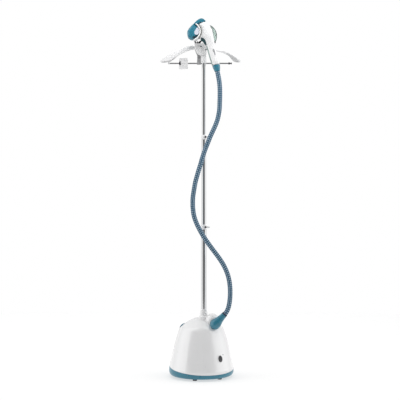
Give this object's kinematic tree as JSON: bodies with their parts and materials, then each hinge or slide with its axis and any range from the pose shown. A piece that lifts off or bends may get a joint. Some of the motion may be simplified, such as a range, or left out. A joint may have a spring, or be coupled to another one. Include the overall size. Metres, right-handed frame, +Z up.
{
  "type": "garment steamer",
  "caption": "Standing garment steamer with a white and teal base, telescopic mast, folding hanger, steam handset and woven hose.",
  "frame": {"origin": "on the floor, under the middle of the object's outer box", "axes": "+Z up along the mast, -Y towards the user, +X to the user's right"},
  "size_m": [0.365, 0.295, 1.619],
  "materials": {
    "teal_plastic": "glossy moulded plastic",
    "white_gloss": "high-gloss moulded plastic",
    "rubber": "matt rubber",
    "steel": "brushed",
    "mast_alloy": "satin anodised, fine lengthwise grain",
    "grey_plastic": "fine texture",
    "boiler_alloy": "as cast",
    "element": "dull",
    "black_plastic": "fine texture",
    "rod_metal": "dark satin",
    "silicone": "matt translucent",
    "tank_clear": "translucent, smooth",
    "lens": "clear lens",
    "hose_cloth": "woven cover",
    "brush_plastic": "satin",
    "trigger_plastic": "satin"
  },
  "bodies": {
    "base": {"lower_casing": "teal_plastic", "upper_casing": "white_gloss", "base_feet": "rubber", "base_screws": "steel", "drain_plug": "grey_plastic", "mast_socket": "grey_plastic", "mast_collar": "white_gloss", "boiler_body": "boiler_alloy", "heating_element": "element", "thermostat": "black_plastic", "steam_pipe": "silicone", "water_inlet_pipe": "silicone", "button_bezel": "white_gloss", "microswitch": "black_plastic", "indicator_lens": "lens", "cord_gland": "rubber", "hose_port": "grey_plastic", "hose_elbow": "teal_plastic", "hose_sleeve": "teal_plastic", "hose_lower": "hose_cloth", "mast_lower_tube": "mast_alloy", "lower_clamp_collar": "white_gloss", "lower_clamp_pin": "grey_plastic"},
    "lower_lever": {"lower_clamp_lever": "grey_plastic"},
    "button": {"power_button": "black_plastic"},
    "tank": {"water_tank": "tank_clear", "tank_rim": "teal_plastic"},
    "tank_cap": {"tank_cap": "grey_plastic"},
    "tank_valve": {"tank_valve": "white_gloss"},
    "mast_mid": {"mast_mid_tube": "mast_alloy", "mid_tube_bush": "grey_plastic", "upper_clamp_collar": "white_gloss", "upper_clamp_pin": "grey_plastic", "hose_upper": "hose_cloth"},
    "upper_lever": {"upper_clamp_lever": "grey_plastic"},
    "mast_top": {"mast_top_tube": "mast_alloy", "top_tube_bush": "grey_plastic", "head_socket": "white_gloss", "head_front_shell": "white_gloss", "head_rear_shell": "white_gloss", "wing_pins": "steel", "rod_post": "grey_plastic", "trouser_rod": "rod_metal", "rod_end_cap": "white_gloss", "rod_stop_ring": "black_plastic", "handset_cradle": "black_plastic", "brush_holder": "white_gloss"},
    "wing_left": {"wing_left": "white_gloss"},
    "wing_right": {"wing_right": "white_gloss"},
    "clip": {"clip_back": "white_gloss"},
    "clip_jaw": {"clip_jaw": "white_gloss"},
    "brush": {"brush_frame": "brush_plastic"},
    "handset": {"handset_front_shell": "white_gloss", "handset_rear_shell": "white_gloss", "steam_head_cover": "teal_plastic", "steam_plate": "steel", "steam_head_ring": "white_gloss", "hose_cuff": "teal_plastic"},
    "trigger": {"trigger": "trigger_plastic"},
    "steam_lock": {"steam_lock": "grey_plastic"}
  },
  "joints": [
    {"name": "mast_lower_slide", "type": "slide", "parent": "base", "child": "mast_mid", "axis": [0, 0, 1], "range_m": [-0.31, 0], "deforming": ["hose_lower"]},
    {"name": "mast_upper_slide", "type": "slide", "parent": "mast_mid", "child": "mast_top", "axis": [0, 0, 1], "range_m": [-0.3, 0], "deforming": ["hose_upper"]},
    {"name": "lower_clamp_turn", "type": "hinge", "parent": "base", "child": "lower_lever", "pos_m": [0.022, -0.0376, 0.682], "axis": [0, -1, 0], "range_deg": [0, 90]},
    {"name": "upper_clamp_turn", "type": "hinge", "parent": "mast_mid", "child": "upper_lever", "pos_m": [0.022, -0.0376, 1.091], "axis": [0, -1, 0], "range_deg": [0, 90]},
    {"name": "wing_left_fold", "type": "hinge", "parent": "mast_top", "child": "wing_left", "pos_m": [-0.024, -0.02, 1.497], "axis": [0, 1, 0], "range_deg": [0, 75]},
    {"name": "wing_right_fold", "type": "hinge", "parent": "mast_top", "child": "wing_right", "pos_m": [0.024, -0.02, 1.497], "axis": [0, -1, 0], "range_deg": [0, 75]},
    {"name": "clip_slide", "type": "slide", "parent": "mast_top", "child": "clip", "axis": [1, 0, 0], "range_m": [-0.015, 0.04]},
    {"name": "clip_jaw_open", "type": "hinge", "parent": "clip", "child": "clip_jaw", "pos_m": [-0.078, 0.002, 1.43], "axis": [-1, 0, 0], "range_deg": [0, 18], "stiffness_Nm_per_rad": 0.2, "springref_deg": -9.74},
    {"name": "brush_lift", "type": "slide", "parent": "mast_top", "child": "brush", "axis": [0, 0, 1], "range_m": [0, 0.05]},
    {"name": "handset_lift", "type": "slide", "parent": "mast_top", "child": "handset", "axis": [-0.2079, 0, 0.9781], "range_m": [0, 0.04]},
    {"name": "trigger_squeeze", "type": "hinge", "parent": "handset", "child": "trigger", "pos_m": [0.017, -0.082, 1.535], "axis": [0, -1, 0], "range_deg": [0, 10], "stiffness_Nm_per_rad": 0.3, "springref_deg": -5.16},
    {"name": "steam_lock_slide", "type": "slide", "parent": "handset", "child": "steam_lock", "axis": [0.2723, 0, -0.9622], "range_m": [0, 0.008]},
    {"name": "power_button_press", "type": "slide", "parent": "base", "child": "button", "axis": [-0.6029, 0.7716, -0.2028], "range_m": [0, 0.003], "stiffness_N_per_m": 300, "springref_m": -0.001},
    {"name": "tank_lift", "type": "slide", "parent": "base", "child": "tank", "axis": [0, 0, 1], "range_m": [0, 0.16]},
    {"name": "tank_cap_turn", "type": "hinge", "parent": "tank", "child": "tank_cap", "pos_m": [-0.043, 0.088, 0.052], "axis": [0, 0, 1], "range_deg": [0, 90]},
    {"name": "tank_valve_press", "type": "slide", "parent": "tank_cap", "child": "tank_valve", "axis": [0, 0, 1], "range_m": [0, 0.003], "stiffness_N_per_m": 200, "springref_m": -0.001}
  ]
}
